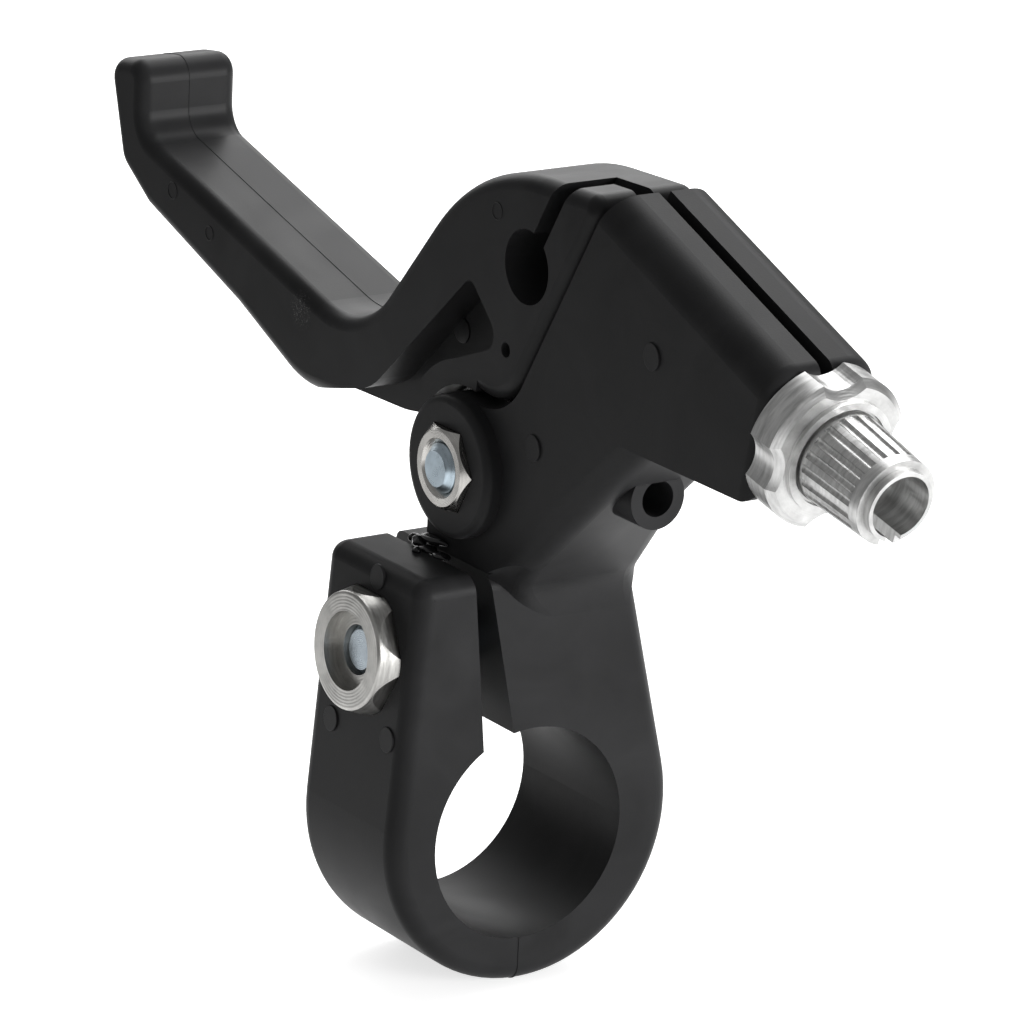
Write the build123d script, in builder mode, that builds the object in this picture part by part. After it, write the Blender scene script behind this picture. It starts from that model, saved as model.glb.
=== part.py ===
"""Bicycle brake lever for a flat bar, as separate pieces, in millimetres.

The origin is the centre of the handlebar bore. Y runs along the bar, towards the tip of the lever,
X is the direction of the pivot bolt, and Z points up from the bar to the lever.
"""
import os
from math import asin, cos, degrees, radians, sin, sqrt, tan

from build123d import *

os.makedirs("parts", exist_ok=True)

# Handlebar clamp
bar_diameter = 22.2
ring_radius = 16.7
ring_shift_x = 0.6
ring_shift_z = 0.75
clamp_width = 17.4
jaw_height = 27.9
near_flank_lean = 4.7
far_flank_lean = 14.0
clamp_edge_radius = 1.8
slot_top_x = -7.7
slot_lean = 5.9
slot_width_top = 1.7
slot_width_bore = 4.1
slot_cover = 0.3

# Clamp screw
screw_diameter = 5.0
screw_clearance = 0.15
thread_clearance = 0.03
pocket_clearance = 0.05
thread_chamfer = 0.5
nut_crown = 0.4
nut_crown_angle = 45.0
clamp_screw_height = 18.9
clamp_nut_flats = 12.0
clamp_nut_relief = 0.1
clamp_nut_corner = 6.5
clamp_nut_crown_angle = 15.0
clamp_nut_edge = 0.3
clamp_nut_proud = 2.2
clamp_nut_sunk = 4.3
clamp_nut_mouth = 7.9
clamp_nut_mouth_depth = 1.4
clamp_bolt_end_depth = 1.7
clamp_head_diameter = 8.5
clamp_head_height = 3.4
clamp_head_seat = 5.4
clamp_washer_diameter = 9.8
clamp_washer_thickness = 1.0
clamp_socket_flats = 4.0
clamp_socket_depth = 2.0

# Lever pivot
pivot_y = -3.3
pivot_rise = 9.8
ear_radius = 7.2
ear_raise = 1.8
ear_edge_radius = 0.8
pivot_clearance = 0.1
pivot_nut_flats = 8.0
pivot_nut_height = 2.7
pivot_nut_sunk = 1.8
pivot_bolt_proud = 0.4
pivot_bolt_chamfer = 0.7
pivot_head_diameter = 8.8
pivot_head_height = 2.8
pivot_head_round = 1.4
pivot_socket_flats = 3.0
pivot_socket_depth = 1.6
washer_radius = 7.7
washer_thickness = 0.8
bush_diameter = 8.0
bush_clearance = 0.05
hub_side_clearance = 0.1

# Body of the bracket
body_width = 12.6
gap_angle = 59.2
gap_offset = 3.0
lever_gap = 0.75
ridge_start = 39.4
ridge_slope = 20.8
ridge_radius = 3.3
ear_post_back = 5.6
underside_rise = 9.1
neck_angle = 42.1
neck_foot_drop = 3.1
neck_foot_near = 2.7
neck_foot_far = 11.0
neck_near_rise = 8.7
neck_far_start = 2.7
neck_far_rise = 15.7
neck_depth = 6.5
neck_cover = 4.0
neck_edge_radius = 2.6
neck_far_radius = 2.0
neck_foot_radius = 8.0
neck_foot_cover = 0.1
arm_corner_radius = 1.5

# Adjuster
adjuster_tilt = 12.5
arm_end_y = -51.3
arm_end_height = 15.1
adjuster_thread = 7.0
adjuster_thread_length = 10.0
adjuster_fit = 0.05
adjuster_hole_extra = 1.5
barrel_diameter = 9.5
barrel_length = 9.9
barrel_gap = 0.2
grip_length = 8.9
grip_taper = 2.9
barrel_flutes = 20
flute_radius = 0.45
flute_depth = 0.3
flute_lead = 0.8
flute_length = 6.9
collar_diameter = 7.0
housing_bore = 6.2
housing_bore_depth = 7.0
cable_bore = 2.2
barrel_slot_width = 1.7
barrel_slot_angle = 268.0
ring_diameter = 15.4
ring_thickness = 3.7
ring_lobes = 4
ring_scallop_radius = 3.2
ring_scallop_depth = 1.1
ring_scallop_angle = 95.0
ring_slot_angle = ring_scallop_angle + 180
ring_edge = 0.7
ring_collar_diameter = 11.4
ring_collar_height = 0.5
ring_recess = 0.25

# Cable path
cable_slot = 1.4
lever_cable_slot = 2.0
cable_floor = 1.3
nipple_diameter = 7.4
nipple_seat_y = -9.2
nipple_seat_z = 22.3
nipple_floor = 1.6

# Reach screw
reach_screw_height = 2.5
reach_screw_diameter = 3.5
reach_screw_length = 12.0
reach_screw_gap = 0.2
reach_screw_clearance = 0.05
reach_socket_flats = 1.8
reach_socket_depth = 2.0
reach_boss_radius = 3.1
reach_boss_proud = 1.8
reach_boss_length = 9.0

# Lever, measured from the pivot
lever_width = 12.0
lever_edge_radius = 1.5
hub_width = 4.4
web_width = 3.5
head_height = 30.9
head_front_rise = 38.3
head_corner_radius = 1.6
head_round = 25.0
arm_back_y = 0.5
arm_back_angle = 49.6
finger_height = 2.3
finger_angle = 14.6
finger_bend_radius = 12.0
bend_station = 31.0
bend_depth = 10.3
bend_round = 12.0
mid_station = 43.5
mid_depth = 8.3
mid_round = 14.0
tip_depth = 7.0
tip_round = 3.0
tip_cut_depth = 4.9
tip_reach = 70.8
tip_lead = 8.8
tip_cut_lead = 3.2
hook_thickness = 7.3
hook_height = 7.9
hook_fall = 1.1
hook_round = 2.2
hook_root_radius = 3.0
web_station = 17.0
web_lower = 0.5
web_rise = 1.6
web_round = 15.0
lobe_corner_radius = 6.8
lobe_width = 2.5
lobe_end_angle = 38.0
stop_pad = 7.3
stop_drop = 0.5
pocket_start_y = 34.0
pocket_start_z = -1.2
pocket_elbow_y = 17.2
pocket_elbow_z = 3.2
pocket_round = 8.0
pocket_top_y = 0.3
pocket_top_z = 19.0
pocket_front_y = -5.6
pocket_front_z = 13.45
pocket_front_round = 1.8
pocket_foot_y = 3.4
pocket_foot_z = 9.8
pocket_corner = 1.2
head_hole_diameter = 1.5
head_hole_y = -6.3
head_hole_z = 13.3

# Worked-out sizes
bar_radius = bar_diameter / 2
body_half = body_width / 2
lever_half = lever_width / 2
hub_half = hub_width / 2
bush_half = hub_half + hub_side_clearance
fork_half = bush_half + washer_thickness
ear_face = body_half + ear_raise
hub_counterbore = ear_radius + lever_gap
pivot_z = jaw_height + pivot_rise
underside_height = pivot_z + underside_rise
arm_end_z = pivot_z + arm_end_height
neck_foot_y = -clamp_width / 2
neck_foot_z = jaw_height - neck_foot_drop
tip_station = tip_reach - tip_lead
tip_cut_y = tip_reach - tip_cut_lead
lever_front_offset = gap_offset - lever_gap
pivot = Vector(pivot_y, pivot_z)
end_lean = tan(radians(adjuster_tilt))
ridge_fall = tan(radians(ridge_slope))
neck_run = 1 / tan(radians(neck_angle))


def flank_x(height, lean):
    """Distance of a flank, which is tangent to the ring, from the ring centre at one height."""
    return (ring_radius - (height - ring_shift_z) * sin(radians(lean))) / cos(radians(lean))


def ring_point(angle):
    """Front-plane point on the ring, at one angle from the far side upwards."""
    across, up = cos(radians(angle)), sin(radians(angle))
    return ring_shift_x + ring_radius * across, ring_shift_z + ring_radius * up


def slot_near_x(height):
    """Near wall of the slot between the jaws at one height."""
    return slot_top_x + (jaw_height - height) * tan(radians(slot_lean))


def neck_front(height):
    """Side-plane position of the front of the neck at one height."""
    return neck_foot_y - (height - neck_foot_z) * neck_run


def beside_pivot(y, z):
    """Side-plane point given from the pivot."""
    return pivot_y + y, pivot_z + z


def finger_z(y):
    """Height of the finger face above the pivot at one distance along the lever."""
    return finger_height + y * tan(radians(finger_angle))


# The gap between lever and bracket runs straight, then turns round the lobe into the hub
gap_along = Vector(-cos(radians(gap_angle)), sin(radians(gap_angle)))
gap_out = Vector(-sin(radians(gap_angle)), -cos(radians(gap_angle)))
lobe_distance = hub_counterbore + lobe_corner_radius
lobe_side = lever_front_offset - lobe_corner_radius
lobe_centre = pivot + gap_out * lobe_side + gap_along * sqrt(lobe_distance**2 - lobe_side**2)
lobe_direction = (lobe_centre - pivot).normalized()
lobe_tangent = Vector(lobe_direction.Y, -lobe_direction.X)
lobe_half_turn = 45 + degrees(asin(lobe_side / lobe_distance)) / 2


def gap_point(offset, rise):
    """Point on a line parallel to the gap, at one distance along it from the pivot."""
    point = pivot + gap_out * offset + gap_along * rise
    return point.X, point.Y


def lobe_corner(radius):
    """Sharp corner of the rounding of one radius about the lobe centre."""
    corner = lobe_centre - lobe_direction * radius
    corner -= lobe_tangent * radius * tan(radians(lobe_half_turn))
    return corner.X, corner.Y


def lobe_end(radius):
    """End of that rounding, just inside the hub circle that it runs into."""
    end = lobe_centre - lobe_direction * (radius + 0.02) + lobe_tangent * 0.3
    return end.X, end.Y


# Planes
side_plane = Plane.YZ
front_plane = Plane.XZ
adjuster_axis = Vector(0, -cos(radians(adjuster_tilt)), -sin(radians(adjuster_tilt)))
adjuster_plane = Plane(origin=(0, arm_end_y, arm_end_z), x_dir=(1, 0, 0), z_dir=adjuster_axis)
adjuster_line = Axis((0, arm_end_y, arm_end_z), tuple(adjuster_axis))
near_lean = radians(near_flank_lean)
clamp_seat = Vector(
    ring_shift_x - flank_x(clamp_screw_height, near_flank_lean), 0, clamp_screw_height
)
clamp_axis = Vector(-cos(near_lean), 0, sin(near_lean))
clamp_plane = Plane(origin=clamp_seat, x_dir=(0, 1, 0), z_dir=clamp_axis)
far_normal = Vector(cos(radians(far_flank_lean)), 0, sin(radians(far_flank_lean)))
ring_centre = Vector(ring_shift_x, 0, ring_shift_z)
clamp_span = (ring_radius - (clamp_seat - ring_centre).dot(far_normal)) / -clamp_axis.dot(far_normal)
head_seat = clamp_span - clamp_head_seat
boss_face_y = neck_front(pivot_z + reach_screw_height) - reach_boss_proud
reach_boss_face = pivot_y - boss_face_y
reach_plane = Plane(
    origin=(0, boss_face_y, pivot_z + reach_screw_height), x_dir=(1, 0, 0), z_dir=(0, 1, 0)
)

# Corners of the bracket body in the side plane
ridge_top = gap_point(gap_offset, ridge_start)
arm_end_rise = ridge_top[1] - ridge_fall * (ridge_top[0] - arm_end_y) - arm_end_z
arm_end_rise /= 1 + ridge_fall * end_lean
arm_end_drop = arm_end_z - underside_height
ear_post_y = pivot_y + ear_post_back
neck_inside = neck_front(underside_height) + neck_cover
neck_head = underside_height + 2
neck_base = bar_radius + 0.5
foot_corner_y = neck_foot_y + neck_foot_cover
foot_corner_z = neck_foot_z - neck_foot_cover / neck_run
neck_far_z = neck_foot_z + neck_far_start
neck_waist_z = neck_foot_z + neck_far_rise
near_corner_z = neck_foot_z + neck_near_rise
near_corner_foot = Vector(-neck_foot_near, neck_foot_y, neck_foot_z)
near_corner_top = Vector(-body_half, neck_front(near_corner_z), near_corner_z)
near_corner_back = Vector(-body_half, neck_front(jaw_height) + neck_cover, jaw_height)
near_corner_along = near_corner_top - near_corner_back
near_corner_plane = Plane(
    origin=near_corner_back, x_dir=near_corner_along,
    z_dir=(near_corner_foot - near_corner_back).cross(near_corner_along),
)
slot_foot = bar_radius - 4
slot_head = jaw_height + slot_cover

# The neck is shaped by itself, and then joined to the rest of the bracket's moulding
with BuildPart() as neck:
    with BuildSketch(side_plane.offset(-body_half)) as neck_profile:
        with BuildLine():
            FilletPolyline(
                (neck_front(neck_head), neck_head),
                (foot_corner_y, foot_corner_z),
                (foot_corner_y, neck_base),
                (foot_corner_y + neck_depth, neck_base),
                (foot_corner_y + neck_depth, foot_corner_z),
                (neck_front(neck_head) + neck_depth, neck_head),
                radius=[0, neck_foot_radius, 0, 0, 0, 0],
                close=True,
            )
        make_face()
    extrude(amount=body_half + neck_foot_far)
    with BuildSketch(front_plane) as neck_far_side:
        Polygon(
            (neck_foot_far, neck_far_z),
            (body_half, neck_waist_z),
            (body_half, neck_head + 1),
            (neck_foot_far + 1, neck_head + 1),
            (neck_foot_far + 1, neck_far_z),
            align=None,
        )
    extrude(amount=neck_head, both=True, mode=Mode.SUBTRACT)
    with BuildSketch(near_corner_plane) as neck_near_corner:
        Rectangle(2 * neck_head, 2 * neck_head)
    extrude(amount=neck_head, mode=Mode.SUBTRACT)
    neck_edges = [
        edge
        for edge in neck.edges().filter_by(Axis.X, reverse=True)
        if abs(edge.center().Y - neck_front(edge.center().Z)) < 0.01
        and edge.length > neck_far_radius
    ]
    fillet([edge for edge in neck_edges if edge.center().X < 0], neck_edge_radius)
    fillet([edge for edge in neck_edges if edge.center().X > 0], neck_far_radius)

with BuildPart() as bracket:
    with BuildSketch(front_plane) as clamp_profile:
        with Locations((ring_shift_x, ring_shift_z)):
            Circle(ring_radius)
        with BuildLine():
            FilletPolyline(
                (ring_shift_x, ring_shift_z),
                ring_point(far_flank_lean),
                (ring_shift_x + flank_x(jaw_height, far_flank_lean), jaw_height),
                (ring_shift_x - flank_x(jaw_height, near_flank_lean), jaw_height),
                ring_point(180 - near_flank_lean),
                radius=[0, 0, clamp_edge_radius * 2, clamp_edge_radius, 0],
                close=True,
            )
        make_face()
    extrude(amount=clamp_width / 2, both=True)
    clamp_rims = [
        edge
        for edge in bracket.edges()
        if abs(abs(edge.center().Y) - clamp_width / 2) < 0.01
    ]
    fillet(clamp_rims, clamp_edge_radius)
    add(neck.part)

    with BuildSketch(side_plane) as body_profile:
        with BuildLine():
            FilletPolyline(
                ridge_top,
                (arm_end_y - arm_end_rise * end_lean, arm_end_z + arm_end_rise),
                (arm_end_y + arm_end_drop * end_lean, underside_height),
                (neck_inside, underside_height),
                (neck_front(jaw_height) + neck_cover, jaw_height),
                (ear_post_y, jaw_height),
                (ear_post_y, pivot_z),
                lobe_end(lobe_corner_radius + lever_gap),
                lobe_corner(lobe_corner_radius + lever_gap),
                radius=[0, 0, 0, 0, 0, 0, 0, 0, lobe_corner_radius + lever_gap],
                close=True,
            )
        make_face()
        with Locations(pivot):
            Circle(ear_radius)
    extrude(amount=body_half, both=True)

    ridge_edges = [
        edge
        for edge in bracket.edges()
        if abs(abs(edge.center().X) - body_half) < 0.01
        and abs(edge.center().Z - ridge_top[1] + ridge_fall * (ridge_top[0] - edge.center().Y)) < 0.05
    ]
    fillet(ridge_edges, ridge_radius)
    arm_end = bracket.faces().sort_by(adjuster_line)[-1]
    fillet(arm_end.edges(), arm_corner_radius)

    with BuildSketch(side_plane) as ear_profile:
        with Locations(pivot):
            Circle(ear_radius)
    extrude(amount=ear_face, both=True)
    ear_rims = [
        edge
        for edge in bracket.edges()
        if abs(abs(edge.center().X) - ear_face) < 0.01
    ]
    fillet(ear_rims, ear_edge_radius)

    with BuildSketch(reach_plane) as boss_profile:
        Circle(reach_boss_radius)
    extrude(amount=reach_boss_length)

    with BuildSketch(front_plane) as bar_bore:
        Circle(bar_radius)
    extrude(amount=clamp_width, both=True, mode=Mode.SUBTRACT)
    with BuildSketch(front_plane) as jaw_slot:
        Polygon(
            (slot_near_x(slot_head), slot_head),
            (slot_near_x(slot_foot), slot_foot),
            (slot_near_x(slot_foot) + slot_width_bore, slot_foot),
            (slot_near_x(jaw_height) + slot_width_top, jaw_height),
            (slot_near_x(jaw_height) + slot_width_top, slot_head),
            align=None,
        )
    extrude(amount=clamp_width, both=True, mode=Mode.SUBTRACT)

    with BuildSketch(clamp_plane) as clamp_nut_pocket:
        RegularPolygon(clamp_nut_flats / 2 + pocket_clearance, 6, major_radius=False)
        Circle(clamp_nut_corner + pocket_clearance, mode=Mode.INTERSECT)
    extrude(amount=-clamp_nut_sunk, mode=Mode.SUBTRACT)
    with BuildSketch(clamp_plane) as clamp_screw_hole:
        Circle(screw_diameter / 2 + screw_clearance)
    extrude(amount=-clamp_span, mode=Mode.SUBTRACT)
    with BuildSketch(clamp_plane.offset(-head_seat)) as clamp_head_pocket:
        Circle(clamp_washer_diameter / 2 + screw_clearance)
    extrude(amount=-2 * clamp_head_seat, mode=Mode.SUBTRACT)

    with BuildSketch(side_plane) as fork_pocket:
        with Locations(pivot):
            Circle(hub_counterbore)
        Polygon(
            beside_pivot(-stop_pad - lever_gap, -stop_drop - lever_gap),
            beside_pivot(0, -stop_drop - lever_gap),
            beside_pivot(0, lobe_distance),
            beside_pivot(-stop_pad - lever_gap, lobe_distance),
            align=None,
        )
    extrude(amount=fork_half, both=True, mode=Mode.SUBTRACT)
    with BuildSketch(side_plane) as pivot_hole:
        with Locations(pivot):
            Circle(screw_diameter / 2 + pivot_clearance)
    extrude(amount=ear_face, both=True, mode=Mode.SUBTRACT)
    with BuildSketch(side_plane.offset(-ear_face)) as pivot_nut_pocket:
        with Locations(pivot):
            RegularPolygon(pivot_nut_flats / 2 + pocket_clearance, 6, major_radius=False)
    extrude(amount=pivot_nut_sunk, mode=Mode.SUBTRACT)

    with BuildSketch(adjuster_plane) as bracket_cable_slot:
        with Locations((0, ridge_start / 2 - cable_floor)):
            Rectangle(cable_slot, ridge_start)
    extrude(amount=-ridge_start - adjuster_thread_length, mode=Mode.SUBTRACT)
    with BuildSketch(adjuster_plane) as adjuster_hole:
        Circle(adjuster_thread / 2 + adjuster_fit)
    extrude(amount=-adjuster_thread_length - adjuster_hole_extra, mode=Mode.SUBTRACT)
    with BuildSketch(reach_plane) as reach_hole:
        Circle(reach_screw_diameter / 2 + reach_screw_clearance)
    extrude(amount=reach_boss_face - stop_pad, mode=Mode.SUBTRACT)

bracket.part.label = "bracket"
export_step(bracket.part, "parts/bracket.step")

# Corners of the lever
arm_slope = tan(radians(arm_back_angle))
bend_y = (head_height + arm_back_y * arm_slope - finger_height) / (
    arm_slope + tan(radians(finger_angle))
)
hook_front = tip_reach - hook_thickness
hook_top = finger_z(hook_front) + hook_height
pad_top = (stop_pad * sin(radians(gap_angle)) - lever_front_offset) / cos(radians(gap_angle))
lobe_outer = hub_counterbore + lobe_width
nipple = Vector(pivot_y + nipple_seat_y, pivot_z + nipple_seat_z)
nipple_exit = nipple + gap_along * head_height
cable_front = nipple + gap_out * head_height

with BuildPart() as lever_blade:
    with BuildSketch(side_plane) as lever_profile:
        with BuildLine():
            FilletPolyline(
                gap_point(lever_front_offset, head_front_rise),
                lobe_corner(lobe_corner_radius),
                lobe_end(lobe_corner_radius),
                beside_pivot(0, 0),
                beside_pivot(ear_radius, web_lower + web_rise),
                beside_pivot(web_station, web_lower),
                beside_pivot(bend_station, finger_z(bend_station) - bend_depth),
                beside_pivot(mid_station, finger_z(mid_station) - mid_depth),
                beside_pivot(tip_station, finger_z(tip_station) - tip_depth),
                beside_pivot(tip_cut_y, finger_z(tip_cut_y) - tip_cut_depth),
                beside_pivot(tip_reach, hook_top - hook_fall),
                beside_pivot(hook_front, hook_top),
                beside_pivot(hook_front, finger_z(hook_front)),
                beside_pivot(bend_y, finger_z(bend_y)),
                beside_pivot(arm_back_y, head_height),
                radius=[head_corner_radius, lobe_corner_radius, 0, 0, 0, web_round, bend_round,
                        mid_round, tip_round, tip_round, hook_round, hook_round,
                        hook_root_radius, finger_bend_radius, head_round],
                close=True,
            )
        make_face()
    extrude(amount=lever_half, both=True)
    rim_edges = [
        edge
        for edge in lever_blade.edges().filter_by(Axis.X, reverse=True)
        if (Vector(edge.center().Y, edge.center().Z) - pivot).length > hub_counterbore - 0.3
    ]
    fillet(rim_edges, lever_edge_radius)

    for side in (-1, 1):
        with BuildSketch(side_plane.offset(side * web_width / 2)) as web_pocket:
            with BuildLine():
                FilletPolyline(
                    beside_pivot(pocket_start_y, pocket_start_z),
                    beside_pivot(pocket_elbow_y, pocket_elbow_z),
                    beside_pivot(pocket_top_y, pocket_top_z),
                    beside_pivot(pocket_front_y, pocket_front_z),
                    beside_pivot(pocket_foot_y, pocket_foot_z),
                    beside_pivot(0, -lever_half),
                    radius=[0, pocket_round, pocket_corner, pocket_front_round, 0, 0],
                    close=True,
                )
            make_face()
            with Locations(pivot):
                Circle(lobe_outer, mode=Mode.SUBTRACT)
            Polygon(
                beside_pivot(0, 0),
                beside_pivot(lobe_outer, -lever_half),
                beside_pivot(2 * lobe_outer * cos(radians(lobe_end_angle)), 0),
                beside_pivot(
                    lobe_outer * cos(radians(lobe_end_angle)),
                    lobe_outer * sin(radians(lobe_end_angle)),
                ),
                align=None,
            )
        extrude(amount=side * lever_half, mode=Mode.SUBTRACT)
        with BuildSketch(side_plane.offset(side * hub_half)) as hub_counterbore_profile:
            with Locations(pivot):
                Circle(hub_counterbore)
        extrude(amount=side * lever_half, mode=Mode.SUBTRACT)

    with BuildSketch(side_plane) as hub_profile:
        with Locations(pivot):
            Circle(ear_radius)
        Polygon(
            beside_pivot(0, 0),
            (lobe_centre.X, lobe_centre.Y),
            beside_pivot(-stop_pad, pad_top),
            beside_pivot(-stop_pad, -stop_drop),
            align=None,
        )
    extrude(amount=hub_half, both=True)
    with BuildSketch(side_plane) as hub_bore:
        with Locations(pivot):
            Circle(bush_diameter / 2 + bush_clearance)
    extrude(amount=lever_half, both=True, mode=Mode.SUBTRACT)

    with BuildSketch(side_plane.offset(lever_half - nipple_floor)) as nipple_seat:
        with Locations(nipple):
            Circle(nipple_diameter / 2)
    extrude(amount=-lever_width, mode=Mode.SUBTRACT)
    with BuildSketch(side_plane.offset(lever_cable_slot / 2)) as nipple_entry:
        with Locations(nipple + gap_along * head_height / 2):
            Rectangle(head_height, lever_cable_slot, rotation=180 - gap_angle)
    extrude(amount=-lever_width, mode=Mode.SUBTRACT)
    with BuildSketch(side_plane) as lever_groove:
        Polygon(
            (nipple.X, nipple.Y),
            (nipple_exit.X, nipple_exit.Y),
            (cable_front.X, nipple_exit.Y),
            (cable_front.X, cable_front.Y),
            align=None,
        )
    extrude(amount=lever_cable_slot / 2, both=True, mode=Mode.SUBTRACT)
    with BuildSketch(side_plane) as head_hole:
        with Locations(beside_pivot(head_hole_y, head_hole_z)):
            Circle(head_hole_diameter / 2)
    extrude(amount=lever_half, both=True, mode=Mode.SUBTRACT)

lever_blade.part.label = "lever_blade"
export_step(lever_blade.part, "parts/lever_blade.step")

# The pivot hardware sits on one line through both ears
nut_face = ear_face - pivot_nut_sunk + pivot_nut_height

with BuildPart() as pivot_bolt:
    with BuildSketch(side_plane.offset(ear_face)) as pivot_shank:
        with Locations(pivot):
            Circle(screw_diameter / 2)
    extrude(amount=-ear_face - nut_face - pivot_bolt_proud)
    chamfer(pivot_bolt.edges().sort_by(Axis.X)[0], pivot_bolt_chamfer)
    with BuildSketch(side_plane.offset(ear_face)) as pivot_head:
        with Locations(pivot):
            Circle(pivot_head_diameter / 2)
    extrude(amount=pivot_head_height)
    fillet(pivot_bolt.edges().sort_by(Axis.X)[-1], pivot_head_round)
    with BuildSketch(side_plane.offset(ear_face + pivot_head_height)) as pivot_socket:
        with Locations(pivot):
            RegularPolygon(pivot_socket_flats / 2, 6, major_radius=False)
    extrude(amount=-pivot_socket_depth, mode=Mode.SUBTRACT)

pivot_bolt.part.label = "pivot_bolt"
export_step(pivot_bolt.part, "parts/pivot_bolt.step")

with BuildPart() as pivot_nut:
    with BuildSketch(side_plane.offset(-nut_face)) as pivot_nut_profile:
        with Locations(pivot):
            RegularPolygon(pivot_nut_flats / 2, 6, major_radius=False)
    extrude(amount=pivot_nut_height)
    with BuildSketch(side_plane.offset(-nut_face)) as pivot_nut_crown:
        with Locations(pivot):
            Circle(pivot_nut_flats / 2 - nut_crown / 2)
    extrude(amount=pivot_nut_height, taper=-nut_crown_angle, mode=Mode.INTERSECT)
    with BuildSketch(side_plane.offset(-nut_face)) as pivot_nut_thread:
        with Locations(pivot):
            Circle(screw_diameter / 2 + thread_clearance)
    extrude(amount=pivot_nut_height, mode=Mode.SUBTRACT)
    thread_ends = pivot_nut.edges().filter_by(GeomType.CIRCLE).sort_by(SortBy.RADIUS)[:2]
    chamfer(thread_ends.sort_by(Axis.X)[0], thread_chamfer)

pivot_nut.part.label = "pivot_nut"
export_step(pivot_nut.part, "parts/pivot_nut.step")

with BuildPart() as near_pivot_washer:
    with BuildSketch(side_plane.offset(-bush_half)) as near_washer_profile:
        with Locations(pivot):
            Circle(washer_radius)
            Circle(screw_diameter / 2 + pivot_clearance, mode=Mode.SUBTRACT)
    extrude(amount=-washer_thickness)

near_pivot_washer.part.label = "near_pivot_washer"
export_step(near_pivot_washer.part, "parts/near_pivot_washer.step")

with BuildPart() as far_pivot_washer:
    with BuildSketch(side_plane.offset(bush_half)) as far_washer_profile:
        with Locations(pivot):
            Circle(washer_radius)
            Circle(screw_diameter / 2 + pivot_clearance, mode=Mode.SUBTRACT)
    extrude(amount=washer_thickness)

far_pivot_washer.part.label = "far_pivot_washer"
export_step(far_pivot_washer.part, "parts/far_pivot_washer.step")

with BuildPart() as pivot_bush:
    with BuildSketch(side_plane) as bush_profile:
        with Locations(pivot):
            Circle(bush_diameter / 2)
            Circle(screw_diameter / 2 + pivot_clearance, mode=Mode.SUBTRACT)
    extrude(amount=bush_half, both=True)

pivot_bush.part.label = "pivot_bush"
export_step(pivot_bush.part, "parts/pivot_bush.step")

# The clamp hardware sits on one line, square to the near flank
clamp_head_plane = clamp_plane.offset(-head_seat - clamp_washer_thickness)
clamp_bolt_end = clamp_nut_proud - clamp_bolt_end_depth

with BuildPart() as clamp_nut:
    with BuildSketch(clamp_plane.offset(-clamp_nut_sunk)) as clamp_nut_profile:
        RegularPolygon(clamp_nut_flats / 2, 6, major_radius=False)
        Circle(clamp_nut_corner, mode=Mode.INTERSECT)
    extrude(amount=clamp_nut_sunk + clamp_nut_proud)
    with BuildSketch(clamp_plane.offset(clamp_nut_proud)) as clamp_nut_crown:
        Circle(clamp_nut_flats / 2 - clamp_nut_relief)
    extrude(amount=-clamp_nut_sunk - clamp_nut_proud, taper=-clamp_nut_crown_angle, mode=Mode.INTERSECT)
    fillet(clamp_nut.faces().sort_by(Axis.X)[0].edges(), clamp_nut_edge)
    with BuildSketch(clamp_plane.offset(clamp_nut_proud)) as clamp_nut_thread:
        Circle(screw_diameter / 2 + thread_clearance)
    extrude(amount=-clamp_nut_sunk - clamp_nut_proud, mode=Mode.SUBTRACT)
    with BuildSketch(clamp_plane.offset(clamp_nut_proud)) as clamp_nut_mouth_profile:
        Circle(clamp_nut_mouth / 2)
    extrude(amount=-clamp_nut_mouth_depth, mode=Mode.SUBTRACT)

clamp_nut.part.label = "clamp_nut"
export_step(clamp_nut.part, "parts/clamp_nut.step")

with BuildPart() as clamp_bolt:
    with BuildSketch(clamp_head_plane) as clamp_shank:
        Circle(screw_diameter / 2)
    extrude(amount=head_seat + clamp_washer_thickness + clamp_bolt_end)
    chamfer(clamp_bolt.edges().sort_by(Axis.X)[0], thread_chamfer)
    with BuildSketch(clamp_head_plane) as clamp_head:
        Circle(clamp_head_diameter / 2)
    extrude(amount=-clamp_head_height)
    chamfer(clamp_bolt.edges().sort_by(Axis.X)[-1], thread_chamfer)
    with BuildSketch(clamp_head_plane.offset(-clamp_head_height)) as clamp_socket:
        RegularPolygon(clamp_socket_flats / 2, 6, major_radius=False)
    extrude(amount=clamp_socket_depth, mode=Mode.SUBTRACT)

clamp_bolt.part.label = "clamp_bolt"
export_step(clamp_bolt.part, "parts/clamp_bolt.step")

with BuildPart() as clamp_washer:
    with BuildSketch(clamp_plane.offset(-head_seat)) as clamp_washer_profile:
        Circle(clamp_washer_diameter / 2)
        Circle(screw_diameter / 2 + screw_clearance, mode=Mode.SUBTRACT)
    extrude(amount=-clamp_washer_thickness)

clamp_washer.part.label = "clamp_washer"
export_step(clamp_washer.part, "parts/clamp_washer.step")

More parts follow.
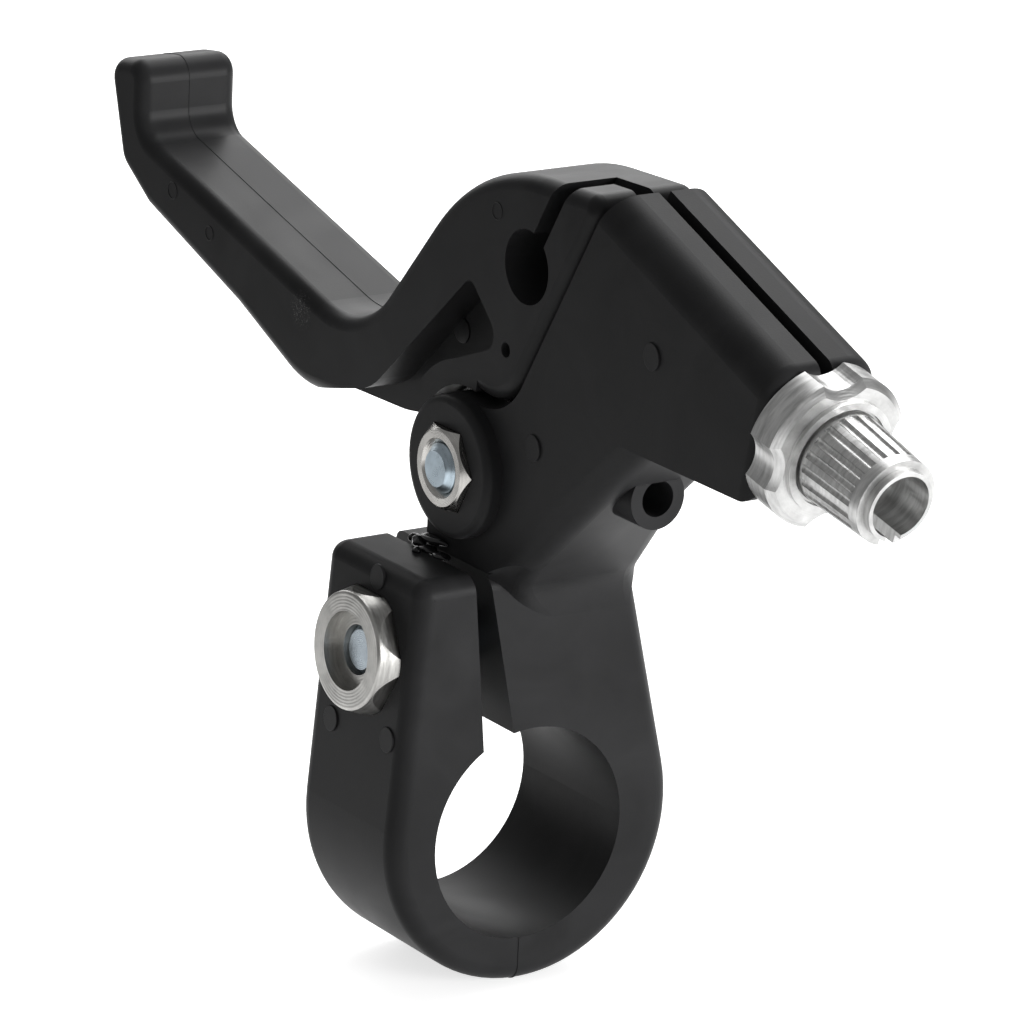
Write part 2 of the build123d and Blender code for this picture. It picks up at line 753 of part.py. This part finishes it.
with BuildPart() as lock_ring:
    with BuildSketch(adjuster_plane) as ring_profile:
        Circle(ring_diameter / 2)
        with PolarLocations(
            ring_diameter / 2 + ring_scallop_radius - ring_scallop_depth,
            ring_lobes,
            start_angle=ring_scallop_angle,
        ):
            Circle(ring_scallop_radius, mode=Mode.SUBTRACT)
    extrude(amount=ring_thickness)
    chamfer(lock_ring.faces().sort_by(adjuster_line)[-1].edges(), ring_edge)
    with BuildSketch(adjuster_plane.offset(ring_thickness)) as ring_collar:
        Circle(ring_collar_diameter / 2)
    extrude(amount=ring_collar_height)
    with BuildSketch(adjuster_plane) as ring_thread:
        Circle(adjuster_thread / 2 + adjuster_fit)
    extrude(amount=ring_thickness + ring_collar_height, mode=Mode.SUBTRACT)
    with BuildSketch(adjuster_plane.offset(ring_thickness)) as ring_recess_profile:
        Circle(barrel_diameter / 2 + ring_recess)
    extrude(amount=ring_collar_height, mode=Mode.SUBTRACT)
    with BuildSketch(adjuster_plane) as ring_slot:
        with Locations(Location((0, 0), ring_slot_angle)):
            with Locations((ring_diameter / 2, 0)):
                Rectangle(ring_diameter, cable_slot)
    extrude(amount=ring_thickness + ring_collar_height, mode=Mode.SUBTRACT)

lock_ring.part.label = "lock_ring"
export_step(lock_ring.part, "parts/lock_ring.step")

barrel_start = ring_thickness + barrel_gap
barrel_end = ring_thickness + barrel_length
barrel_plane = adjuster_plane.offset(barrel_end)
flute_rise = barrel_diameter / 2 - flute_lead * tan(radians(grip_taper)) + flute_radius - flute_depth


def flute_plane(number):
    """Plane at the start of one flute, square to the grip's sloping side."""
    turn = radians(number * 360 / barrel_flutes)
    outward = adjuster_plane.x_dir * cos(turn) + adjuster_plane.y_dir * sin(turn)
    start = adjuster_plane.origin + adjuster_axis * (barrel_start + flute_lead) + outward * flute_rise
    along = adjuster_axis - outward * tan(radians(grip_taper))
    return Plane(origin=start, x_dir=adjuster_axis.cross(outward), z_dir=along)


with BuildPart() as barrel_adjuster:
    with BuildSketch(adjuster_plane.offset(barrel_start)) as barrel_shank:
        Circle(adjuster_thread / 2)
    extrude(amount=-barrel_start - adjuster_thread_length)
    with BuildSketch(adjuster_plane.offset(barrel_start)) as barrel_collar:
        Circle(collar_diameter / 2)
    extrude(amount=barrel_end - barrel_start)
    with BuildSketch(adjuster_plane.offset(barrel_start)) as barrel_grip:
        Circle(barrel_diameter / 2)
    extrude(amount=grip_length, taper=grip_taper)
    for flute in range(barrel_flutes):
        with BuildSketch(flute_plane(flute)) as flute_profile:
            Circle(flute_radius)
        extrude(amount=flute_length, mode=Mode.SUBTRACT)
    with BuildSketch(barrel_plane) as housing_socket:
        Circle(housing_bore / 2)
    extrude(amount=-housing_bore_depth, mode=Mode.SUBTRACT)
    with BuildSketch(barrel_plane) as cable_hole:
        Circle(cable_bore / 2)
    extrude(amount=-barrel_end - adjuster_thread_length, mode=Mode.SUBTRACT)
    with BuildSketch(barrel_plane) as barrel_slot:
        with Locations(Location((0, 0), barrel_slot_angle)):
            with Locations((barrel_diameter / 2, 0)):
                Rectangle(barrel_diameter, barrel_slot_width)
    extrude(amount=-barrel_end - adjuster_thread_length, mode=Mode.SUBTRACT)

barrel_adjuster.part.label = "barrel_adjuster"
export_step(barrel_adjuster.part, "parts/barrel_adjuster.step")

reach_tip = reach_boss_face - stop_pad - reach_screw_gap

with BuildPart() as reach_screw:
    with BuildSketch(reach_plane.offset(reach_tip)) as reach_shank:
        Circle(reach_screw_diameter / 2)
    extrude(amount=-reach_screw_length)
    chamfer(reach_screw.edges().sort_by(Axis.Y)[-1], thread_chamfer)
    with BuildSketch(reach_plane.offset(reach_tip - reach_screw_length)) as reach_socket:
        RegularPolygon(reach_socket_flats / 2, 6, major_radius=False)
    extrude(amount=reach_socket_depth, mode=Mode.SUBTRACT)

reach_screw.part.label = "reach_screw"
export_step(reach_screw.part, "parts/reach_screw.step")
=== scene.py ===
import math

import bmesh
import bpy
from mathutils import Matrix, Vector, noise


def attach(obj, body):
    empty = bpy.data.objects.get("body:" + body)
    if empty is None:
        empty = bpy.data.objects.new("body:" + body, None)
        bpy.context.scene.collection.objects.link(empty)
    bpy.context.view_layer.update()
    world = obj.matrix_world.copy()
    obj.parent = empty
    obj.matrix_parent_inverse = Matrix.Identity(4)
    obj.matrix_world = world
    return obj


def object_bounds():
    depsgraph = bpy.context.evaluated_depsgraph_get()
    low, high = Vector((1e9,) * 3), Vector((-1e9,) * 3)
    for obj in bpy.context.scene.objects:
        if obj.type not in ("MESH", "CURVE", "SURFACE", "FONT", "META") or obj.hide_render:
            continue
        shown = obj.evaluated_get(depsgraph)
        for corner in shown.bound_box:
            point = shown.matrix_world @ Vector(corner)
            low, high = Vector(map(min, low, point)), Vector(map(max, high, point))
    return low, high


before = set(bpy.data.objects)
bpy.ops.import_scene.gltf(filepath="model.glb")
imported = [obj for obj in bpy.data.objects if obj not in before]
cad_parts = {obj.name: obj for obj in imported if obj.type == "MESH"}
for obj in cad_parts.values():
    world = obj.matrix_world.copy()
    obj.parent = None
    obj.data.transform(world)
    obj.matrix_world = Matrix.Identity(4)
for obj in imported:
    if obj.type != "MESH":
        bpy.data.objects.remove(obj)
cad_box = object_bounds()

# Bracket: bar clamp, neck, ears and adjuster arm in one shot of glass-filled nylon.
# The mould leaves a satin skin with cloudy flow marks, the round ends of its ejector pins, a thin
# line where it parts under the clamp, and the torn stub of the gate beside the jaw slot.
mm = 0.001
bracket_black = (0.02, 0.02, 0.0207)
satin_sheen = 0.08
flow_scale = 95
flow_low = 0.3
flow_high = 0.7
darkest_flow = 0.78
palest_flow = 1.22
glossiest_flow = 0.05
dullest_flow = 0.06
pebble_scale = 5200
pebble_height = 0.02 * mm


def moulded_plastic(name, colour, roughness, grain, sheen=satin_sheen):
    """Black moulding: cloudy flow marks under a fine pebbled skin."""
    material = bpy.data.materials.new(name)
    material.use_nodes = True
    nodes, links = material.node_tree.nodes, material.node_tree.links
    shader = nodes["Principled BSDF"]
    shader.inputs["Specular IOR Level"].default_value = sheen
    place = nodes.new("ShaderNodeTexCoord")

    flow = nodes.new("ShaderNodeTexNoise")
    flow.inputs["Scale"].default_value = flow_scale
    flow.inputs["Detail"].default_value = 3
    flow.inputs["Distortion"].default_value = 0.8
    links.new(place.outputs["Object"], flow.inputs["Vector"])
    tint = nodes.new("ShaderNodeValToRGB")
    tint.color_ramp.elements[0].position = flow_low
    tint.color_ramp.elements[0].color = [c * darkest_flow for c in colour] + [1]
    tint.color_ramp.elements[1].position = flow_high
    tint.color_ramp.elements[1].color = [c * palest_flow for c in colour] + [1]
    links.new(flow.outputs[0], tint.inputs["Fac"])
    links.new(tint.outputs["Color"], shader.inputs["Base Color"])
    gloss = nodes.new("ShaderNodeMapRange")
    gloss.inputs["From Min"].default_value = flow_low
    gloss.inputs["From Max"].default_value = flow_high
    gloss.inputs["To Min"].default_value = roughness - glossiest_flow
    gloss.inputs["To Max"].default_value = roughness + dullest_flow
    links.new(flow.outputs[0], gloss.inputs["Value"])
    links.new(gloss.outputs["Result"], shader.inputs["Roughness"])

    skin = nodes.new("ShaderNodeTexNoise")
    skin.inputs["Scale"].default_value = pebble_scale
    skin.inputs["Detail"].default_value = 2
    links.new(place.outputs["Object"], skin.inputs["Vector"])
    pebble = nodes.new("ShaderNodeBump")
    pebble.inputs["Strength"].default_value = grain
    pebble.inputs["Distance"].default_value = pebble_height
    links.new(skin.outputs[0], pebble.inputs["Height"])
    links.new(pebble.outputs["Normal"], shader.inputs["Normal"])
    return material


bracket_plastic = moulded_plastic("bracket_plastic", bracket_black, roughness=0.42, grain=0.35)
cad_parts["bracket"].material_slots[0].material = bracket_plastic


def finished(name, mesh, body, material, smooth=True):
    """Turns a bmesh into a piece that rides on one body and takes one finish."""
    data = bpy.data.meshes.new(name)
    mesh.to_mesh(data)
    mesh.free()
    data.materials.append(material)
    if smooth:
        data.shade_smooth()
    else:
        data.shade_flat()
    piece = bpy.data.objects.new(name, data)
    bpy.context.scene.collection.objects.link(piece)
    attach(piece, body)


pin_rim_share = 0.45


def ejector_end(mesh, spot, facing, radius, height, lean):
    """Adds the raised round end of one ejector pin, sunk into the face that it stands on."""
    others = set(mesh.verts)
    plug = bmesh.ops.create_cone(
        mesh, cap_ends=True, cap_tris=False, segments=48, radius1=radius, radius2=radius, depth=2 * height
    )["verts"]
    top = {v for v in plug if v.co.z > 0}
    rim = [e for e in mesh.edges if e.verts[0] in top and e.verts[1] in top]
    bmesh.ops.bevel(
        mesh, geom=rim, offset=height * pin_rim_share, segments=2, profile=0.5, affect="EDGES", material=-1
    )
    turn = Vector((0, 0, 1)).rotation_difference(Vector(facing)).to_matrix().to_4x4()
    place = Matrix.Translation(Vector(spot) * mm) @ Matrix.Rotation(lean, 4, "Z") @ turn
    bmesh.ops.transform(mesh, matrix=place, verts=[v for v in mesh.verts if v not in others])


nut_side = (-1, 0, 0)
near_face = -6.3
arm_pin_spots = ((near_face, -34.07, 56.72), (near_face, -15.42, 42.76))
arm_pin_radius = 1.35 * mm
flank_tilt = math.radians(4.7)
flank_facing = (-math.cos(flank_tilt), 0, math.sin(flank_tilt))
flank_pin_spots = ((-14.03, -0.98, 26.59), (-15.36, 4.51, 10.4), (-15.29, -5.63, 11.31))
flank_pin_radius = 1.3 * mm
bracket_pin_height = 0.13 * mm
bracket_pin_lean = math.radians(-3)
bracket_marks = bmesh.new()
for spot in arm_pin_spots:
    ejector_end(bracket_marks, spot, nut_side, arm_pin_radius, bracket_pin_height, bracket_pin_lean)
for spot in flank_pin_spots:
    ejector_end(bracket_marks, spot, flank_facing, flank_pin_radius, bracket_pin_height, bracket_pin_lean)
finished("bracket_ejector_marks", bracket_marks, "bracket", bracket_plastic, smooth=False)

merge_gap = 0.002 * mm
cut_gap = 0.0001 * mm


def parting_line(node, x, width, height, keep):
    """Strip of a node's own skin along one plane, lifted into a low ridge where keep says so."""
    strip = bmesh.new()
    strip.from_mesh(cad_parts[node].data)
    bmesh.ops.remove_doubles(strip, verts=strip.verts, dist=merge_gap)
    for edge, side in ((x - width / 2, "clear_inner"), (x + width / 2, "clear_outer")):
        bmesh.ops.bisect_plane(
            strip, geom=strip.verts[:] + strip.edges[:] + strip.faces[:], dist=cut_gap,
            plane_co=(edge, 0, 0), plane_no=(1, 0, 0), **{side: True}
        )
    away = [f for f in strip.faces if not keep(f.calc_center_median() / mm)]
    bmesh.ops.delete(strip, geom=away, context="FACES")
    strip.normal_update()
    for v in strip.verts:
        v.co += v.normal * height
    bmesh.ops.solidify(strip, geom=strip.faces[:], thickness=2 * height)
    return strip


clamp_line_top = -11.3
clamp_line = parting_line(
    "bracket", x=-0.5 * mm, width=0.16 * mm, height=0.07 * mm, keep=lambda c: c.z < clamp_line_top
)
finished("bracket_parting_line", clamp_line, "bracket", bracket_plastic, smooth=False)

gate_black = (0.012, 0.012, 0.013)
gate_plastic = moulded_plastic("torn_gate", gate_black, roughness=0.2, grain=0.1, sheen=0.4)
gate_lumps = (
    ((-6.7, 0.4, 29.0), (0.6, 2.2, 0.5)),
    ((-7.1, 2.4, 28.3), (0.7, 0.9, 0.6)),
    # The third lump is partly torn gate and partly a dark lump put where the shade between the others
    # falls.
    ((-7.2, 0.6, 28.0), (0.8, 1.4, 0.4)),
    ((-8.5, 0.7, 28.0), (0.4, 0.5, 0.4)),
    ((-7.2, -1.8, 28.0), (0.7, 1.2, 0.35)),
    ((-6.4, 4.3, 28.1), (0.6, 0.5, 0.4)),
)
torn_depth = 0.3
torn_detail = 0.9
gate = bmesh.new()
for middle, size in gate_lumps:
    lump = bmesh.ops.create_icosphere(gate, subdivisions=4, radius=1)["verts"]
    for v in lump:
        v.co *= 1 + torn_depth * noise.noise(v.co * torn_detail + Vector(middle))
    place = Matrix.Translation(Vector(middle) * mm) @ Matrix.Diagonal(Vector(size) * mm).to_4x4()
    bmesh.ops.transform(gate, matrix=place, verts=lump)
finished("gate_stub", gate, "bracket", gate_plastic)

# Lever blade: one moulding of the same nylon in a smoother mould, a little glossier than the bracket.
# It turns on a steel bush in its hub. The line where the mould parts runs over the hook and down the
# finger face, the pin marks are on the near side, and the bend is scuffed from handling.
lever_black = (0.021, 0.021, 0.0217)
lever_plastic = moulded_plastic("lever_plastic", lever_black, roughness=0.38, grain=0.25)
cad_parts["lever_blade"].material_slots[0].material = lever_plastic

scuff_grey = (0.16, 0.16, 0.16, 1)
scuff_centre = Vector((-6.0, 27.5, 45.6)) * mm
scuff_inner = 0.6 * mm
scuff_outer = 2.2 * mm
scrape_scale = 2600


def add_scuff(material):
    """Lays pale scrapes over a moulding's tint, within a short reach of one spot."""
    nodes, links = material.node_tree.nodes, material.node_tree.links
    place = nodes["Texture Coordinate"]
    apart = nodes.new("ShaderNodeVectorMath")
    apart.operation = "DISTANCE"
    apart.inputs[1].default_value = scuff_centre
    links.new(place.outputs["Object"], apart.inputs[0])
    close_by = nodes.new("ShaderNodeMapRange")
    close_by.inputs["From Min"].default_value = scuff_outer
    close_by.inputs["From Max"].default_value = scuff_inner
    links.new(apart.outputs["Value"], close_by.inputs["Value"])
    scrapes = nodes.new("ShaderNodeTexNoise")
    scrapes.inputs["Scale"].default_value = scrape_scale
    scrapes.inputs["Detail"].default_value = 4
    scrapes.inputs["Distortion"].default_value = 2.5
    links.new(place.outputs["Object"], scrapes.inputs["Vector"])
    scraped = nodes.new("ShaderNodeMapRange")
    scraped.inputs["From Min"].default_value = 0.56
    scraped.inputs["From Max"].default_value = 0.66
    links.new(scrapes.outputs[0], scraped.inputs["Value"])
    scuff = nodes.new("ShaderNodeMath")
    scuff.operation = "MULTIPLY"
    links.new(close_by.outputs["Result"], scuff.inputs[0])
    links.new(scraped.outputs["Result"], scuff.inputs[1])
    worn = nodes.new("ShaderNodeMix")
    worn.data_type = "RGBA"
    worn.inputs["B"].default_value = scuff_grey
    links.new(scuff.outputs["Value"], worn.inputs["Factor"])
    links.new(nodes["Color Ramp"].outputs["Color"], worn.inputs["A"])
    links.new(worn.outputs["Result"], nodes["Principled BSDF"].inputs["Base Color"])


add_scuff(lever_plastic)

lever_line_start = 12
lever_line = parting_line(
    "lever_blade", x=0, width=0.14 * mm, height=0.05 * mm, keep=lambda c: c.y > lever_line_start
)
finished("lever_parting_line", lever_line, "lever", lever_plastic, smooth=False)


def pin_ring(mesh, spot, facing, radius, thickness):
    """Adds the low ring that an ejector pin's edge leaves round its dimple."""
    others = set(mesh.verts)
    start = bmesh.ops.create_circle(mesh, cap_ends=False, segments=10, radius=thickness)["verts"]
    bmesh.ops.rotate(mesh, verts=start, cent=(0, 0, 0), matrix=Matrix.Rotation(math.pi / 2, 3, "X"))
    bmesh.ops.translate(mesh, verts=start, vec=(radius, 0, 0))
    profile = start + list({e for v in start for e in v.link_edges})
    bmesh.ops.spin(
        mesh, geom=profile, cent=(0, 0, 0), axis=(0, 0, 1), angle=math.tau, steps=40, use_merge=True
    )
    ring = [v for v in mesh.verts if v not in others]
    turn = Vector((0, 0, 1)).rotation_difference(Vector(facing)).to_matrix().to_4x4()
    bmesh.ops.transform(mesh, matrix=Matrix.Translation(Vector(spot) * mm) @ turn, verts=ring)


lever_face = -6.0
pin_rings = (
    ((lever_face, -7.15, 64.27), 0.85), ((lever_face, 45.6, 49.3), 0.75), ((lever_face, 53.2, 52.1), 0.9)
)
pin_ring_thickness = 0.06 * mm
web_pin_spot = (-1.75, 4.16, 48.97)
lever_marks = bmesh.new()
for spot, radius in pin_rings:
    pin_ring(lever_marks, spot, nut_side, radius * mm, pin_ring_thickness)
ejector_end(lever_marks, web_pin_spot, nut_side, radius=1.3 * mm, height=0.2 * mm, lean=math.radians(3))
bmesh.ops.recalc_face_normals(lever_marks, faces=lever_marks.faces)
finished("lever_ejector_marks", lever_marks, "lever", lever_plastic)

# Lever pivot: a steel bolt with a round socket head, through both ears, the washers and the bush, and
# a hexagon nut let into the near ear. The bolt is zinc plated with a blue passivate, the nut greyer.
zinc_blue = (0.42, 0.50, 0.56)
zinc_grey = (0.50, 0.49, 0.47)
pivot_middle = Vector((0, -3.3, 37.7)) * mm
pivot_along = (1, 0, 0)
score_stretch = (0.14, 0.14, 1)
score_scale = 2400
darkest_score = 0.7
palest_score = 1.15
glossiest_score = 0.07
dullest_score = 0.1
lathe_height = 0.01 * mm


def turned_metal(name, colour, roughness, centre, along, pitch, depth):
    """Bright metal with the fine rings and scores that the tool left round one line."""
    material = bpy.data.materials.new(name)
    material.use_nodes = True
    nodes, links = material.node_tree.nodes, material.node_tree.links
    shader = nodes["Principled BSDF"]
    shader.inputs["Metallic"].default_value = 1
    place = nodes.new("ShaderNodeTexCoord")
    turn = Vector(along).rotation_difference(Vector((0, 0, 1)))
    square = nodes.new("ShaderNodeMapping")
    square.inputs["Rotation"].default_value = turn.to_euler()
    square.inputs["Location"].default_value = -(turn @ centre)
    links.new(place.outputs["Object"], square.inputs["Vector"])

    rings = nodes.new("ShaderNodeTexWave")
    rings.wave_type = "RINGS"
    rings.rings_direction = "Z"
    rings.inputs["Scale"].default_value = math.tau / (20 * pitch)
    rings.inputs["Distortion"].default_value = 1.2
    rings.inputs["Detail"].default_value = 3
    rings.inputs["Detail Scale"].default_value = 2
    links.new(square.outputs["Vector"], rings.inputs["Vector"])

    drawn_out = nodes.new("ShaderNodeMapping")
    drawn_out.inputs["Scale"].default_value = score_stretch
    links.new(square.outputs["Vector"], drawn_out.inputs["Vector"])
    scores = nodes.new("ShaderNodeTexNoise")
    scores.inputs["Scale"].default_value = score_scale
    scores.inputs["Detail"].default_value = 4
    scores.inputs["Roughness"].default_value = 0.6
    links.new(drawn_out.outputs["Vector"], scores.inputs["Vector"])
    tint = nodes.new("ShaderNodeValToRGB")
    tint.color_ramp.elements[0].position = 0.3
    tint.color_ramp.elements[0].color = [c * darkest_score for c in colour] + [1]
    tint.color_ramp.elements[1].position = 0.68
    tint.color_ramp.elements[1].color = [min(1, c * palest_score) for c in colour] + [1]
    links.new(scores.outputs[0], tint.inputs["Fac"])
    links.new(tint.outputs["Color"], shader.inputs["Base Color"])
    gloss = nodes.new("ShaderNodeMapRange")
    gloss.inputs["To Min"].default_value = roughness - glossiest_score
    gloss.inputs["To Max"].default_value = roughness + dullest_score
    links.new(scores.outputs[0], gloss.inputs["Value"])
    links.new(gloss.outputs["Result"], shader.inputs["Roughness"])

    marks = nodes.new("ShaderNodeMath")
    marks.operation = "ADD"
    links.new(rings.outputs["Fac"], marks.inputs[0])
    links.new(scores.outputs[0], marks.inputs[1])
    lathe = nodes.new("ShaderNodeBump")
    lathe.inputs["Strength"].default_value = depth
    lathe.inputs["Distance"].default_value = lathe_height
    links.new(marks.outputs["Value"], lathe.inputs["Height"])
    links.new(lathe.outputs["Normal"], shader.inputs["Normal"])
    return material


pivot_zinc = turned_metal(
    "pivot_zinc", zinc_blue, roughness=0.27,
    centre=pivot_middle, along=pivot_along, pitch=0.14 * mm, depth=0.3
)
nut_zinc = turned_metal(
    "nut_zinc", zinc_grey, roughness=0.24,
    centre=pivot_middle, along=pivot_along, pitch=0.14 * mm, depth=0.4
)
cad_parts["pivot_bolt"].material_slots[0].material = pivot_zinc
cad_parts["pivot_nut"].material_slots[0].material = nut_zinc

# Pivot washers and bush: two stamped steel washers on either side of a turned steel bush, all on the
# bolt. The washers keep the lever's hub clear of the fork, and the hub turns on the bush.
washer_grey = (0.74, 0.74, 0.73)
bush_grey = (0.58, 0.58, 0.58)
washer_steel = turned_metal(
    "washer_steel", washer_grey, roughness=0.24,
    centre=pivot_middle, along=pivot_along, pitch=0.3 * mm, depth=0.15
)
bush_steel = turned_metal(
    "bush_steel", bush_grey, roughness=0.32,
    centre=pivot_middle, along=pivot_along, pitch=0.2 * mm, depth=0.3
)
for node in ("near_pivot_washer", "far_pivot_washer"):
    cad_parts[node].material_slots[0].material = washer_steel
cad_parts["pivot_bush"].material_slots[0].material = bush_steel

# Clamp screw: a zinc-plated socket screw and washer from the far side, drawn into a bright turned nut
# that is let into the near jaw. The nut's face carries the rings of the lathe tool.
nut_white = (0.42, 0.415, 0.40)
screw_blue = (0.46, 0.52, 0.57)
clamp_middle = Vector((-14.8, 0, 18.9)) * mm
nut_bright = turned_metal(
    "nut_alloy", nut_white, roughness=0.3,
    centre=clamp_middle, along=flank_facing, pitch=0.32 * mm, depth=0.8
)
clamp_zinc = turned_metal(
    "clamp_zinc", screw_blue, roughness=0.25,
    centre=clamp_middle, along=flank_facing, pitch=0.2 * mm, depth=0.3
)
clamp_washer_steel = turned_metal(
    "clamp_washer_steel", washer_grey, roughness=0.28,
    centre=clamp_middle, along=flank_facing, pitch=0.3 * mm, depth=0.2
)
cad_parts["clamp_nut"].material_slots[0].material = nut_bright
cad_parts["clamp_bolt"].material_slots[0].material = clamp_zinc
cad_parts["clamp_washer"].material_slots[0].material = clamp_washer_steel

# Cable adjuster: a turned aluminium barrel with a fluted grip and an open cable slot, and the lobed
# lock ring that jams it against the arm. Both are left bright, with the tool's marks round them.
alloy_white = (0.55, 0.55, 0.545)
adjuster_tilt = math.radians(12.5)
adjuster_along = (0, -math.cos(adjuster_tilt), -math.sin(adjuster_tilt))
arm_end = Vector((0, -51.3, 52.8)) * mm
adjuster_alloy = turned_metal(
    "adjuster_alloy", alloy_white, roughness=0.34,
    centre=arm_end, along=adjuster_along, pitch=0.22 * mm, depth=0.5
)
for node in ("lock_ring", "barrel_adjuster"):
    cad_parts[node].material_slots[0].material = adjuster_alloy

# Reach screw: a small zinc-plated grub screw in the boss under the arm, which sets where the lever rests.
# Only its hexagon socket shows, deep in the boss.
grub_grey = (0.5, 0.52, 0.55)
reach_middle = Vector((0, -20, 40.2)) * mm
reach_along = (0, 1, 0)
reach_zinc = turned_metal(
    "reach_zinc", grub_grey, roughness=0.35,
    centre=reach_middle, along=reach_along, pitch=0.25 * mm, depth=0.3
)
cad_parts["reach_screw"].material_slots[0].material = reach_zinc

# Floor and room: a sheet of white paper that keeps a soft shadow, in an evenly dim white room.
# The paper glows a little to the eye and in reflections, so that it reads as white. A painted shade
# darkens its colour and glow on the nut's side, well out of the picture, which keeps the near faces dark.
white = (1, 1, 1, 1)
floor_level = cad_box[0][2]
floor_gap = 0.2 * mm
floor_half_width = 4
paper_white = 0.82
paper_glow = 0.7
# Painted shade: the share of the paper's colour and glow left on the nut's side.
shade = 0.3
shade_turn = math.radians(34.7)
shade_full = -190 * mm
shade_start = -100 * mm
room_glow = 0.3


def seen_directly(nodes, links):
    """One where a ray comes straight from the eye, a mirror or glass, and zero elsewhere."""
    path = nodes.new("ShaderNodeLightPath")
    either = nodes.new("ShaderNodeMath")
    either.operation = "MAXIMUM"
    links.new(path.outputs["Is Camera Ray"], either.inputs[0])
    links.new(path.outputs["Is Glossy Ray"], either.inputs[1])
    seen = nodes.new("ShaderNodeMath")
    seen.operation = "MAXIMUM"
    links.new(either.outputs["Value"], seen.inputs[0])
    links.new(path.outputs["Is Transmission Ray"], seen.inputs[1])
    return seen.outputs["Value"]


def toward_painted_shade(nodes, links, bright):
    """Value that is bright under the object and fades to a painted shade on the nut's side."""
    place = nodes.new("ShaderNodeTexCoord")
    across = nodes.new("ShaderNodeVectorMath")
    across.operation = "DOT_PRODUCT"
    across.inputs[1].default_value = (math.cos(shade_turn), -math.sin(shade_turn), 0)
    links.new(place.outputs["Object"], across.inputs[0])
    fade = nodes.new("ShaderNodeMapRange")
    fade.inputs["From Min"].default_value = shade_full
    fade.inputs["From Max"].default_value = shade_start
    fade.inputs["To Min"].default_value = bright * shade
    fade.inputs["To Max"].default_value = bright
    links.new(across.outputs["Value"], fade.inputs["Value"])
    return fade.outputs["Result"]


def white_paper(name):
    """Matt white that also glows where it is seen directly, with a painted shade to one side."""
    material = bpy.data.materials.new(name)
    material.use_nodes = True
    nodes, links = material.node_tree.nodes, material.node_tree.links
    nodes.remove(nodes["Principled BSDF"])
    paper = nodes.new("ShaderNodeBsdfDiffuse")
    links.new(toward_painted_shade(nodes, links, paper_white), paper.inputs["Color"])
    glow = nodes.new("ShaderNodeEmission")
    glow.inputs["Color"].default_value = white
    links.new(toward_painted_shade(nodes, links, paper_glow), glow.inputs["Strength"])
    lit = nodes.new("ShaderNodeAddShader")
    links.new(paper.outputs["BSDF"], lit.inputs[0])
    links.new(glow.outputs["Emission"], lit.inputs[1])
    choice = nodes.new("ShaderNodeMixShader")
    links.new(seen_directly(nodes, links), choice.inputs["Fac"])
    links.new(paper.outputs["BSDF"], choice.inputs[1])
    links.new(lit.outputs["Shader"], choice.inputs[2])
    links.new(choice.outputs["Shader"], nodes["Material Output"].inputs["Surface"])
    return material


floor_mesh = bmesh.new()
bmesh.ops.create_grid(floor_mesh, x_segments=1, y_segments=1, size=floor_half_width)
bmesh.ops.translate(floor_mesh, verts=floor_mesh.verts, vec=(0, 0, floor_level - floor_gap))
floor_data = bpy.data.meshes.new("floor")
floor_mesh.to_mesh(floor_data)
floor_mesh.free()
floor_data.materials.append(white_paper("floor_paper"))
floor = bpy.data.objects.new("floor", floor_data)
bpy.context.scene.collection.objects.link(floor)

room = bpy.data.worlds.new("room")
room.use_nodes = True
bpy.context.scene.world = room
background = room.node_tree.nodes["Background"]
background.inputs["Color"].default_value = white
background.inputs["Strength"].default_value = room_glow

# Lamps: three softboxes on the far side of the object, which all face its middle. One hangs overhead, one
# stands low at the adjuster's end, and a broad one stands behind the lever's tip.
subject = Vector((0, 0, 30)) * mm


def softbox(name, position, width, height, power):
    """Area lamp that faces the object."""
    light = bpy.data.lights.new(name, "AREA")
    light.shape = "RECTANGLE"
    light.size = width
    light.size_y = height
    light.energy = power
    lamp = bpy.data.objects.new(name, light)
    lamp.location = position
    lamp.rotation_euler = (Vector(position) - subject).to_track_quat("Z", "Y").to_euler()
    bpy.context.scene.collection.objects.link(lamp)


softbox("overhead_softbox", position=(0.36, 0.25, 0.62), width=0.6, height=0.6, power=4.4)
softbox("front_softbox", position=(0.35, -0.8, 0.12), width=0.5, height=0.4, power=9)
softbox("back_softbox", position=(0.35, 0.85, 0.42), width=0.9, height=0.5, power=3.5)

# Camera: a long lens from the nut's side and the adjuster's end, a little above the object.
# Its angles, place and lens were fitted to the round edges of the bore, clamp nut, ear and adjuster.
camera_turn = math.radians(-34.653)
camera_above = math.radians(17.343)
camera_roll = math.radians(2.625)
camera_place = Vector((3.214, 29.617, 600)) * mm
eye = bpy.data.cameras.new("camera")
eye.sensor_width = 36
eye.lens = 209.19
eye.clip_start = 0.01
eye.clip_end = 20
camera = bpy.data.objects.new("camera", eye)
aim = (
    Matrix.Rotation(camera_turn, 4, "Z")
    @ Matrix.Rotation(math.pi / 2 - camera_above, 4, "X")
    @ Matrix.Rotation(camera_roll, 4, "Z")
)
camera.matrix_world = aim @ Matrix.Translation(camera_place)
bpy.context.scene.collection.objects.link(camera)
bpy.context.scene.camera = camera
bpy.context.scene.view_settings.view_transform = "Standard"
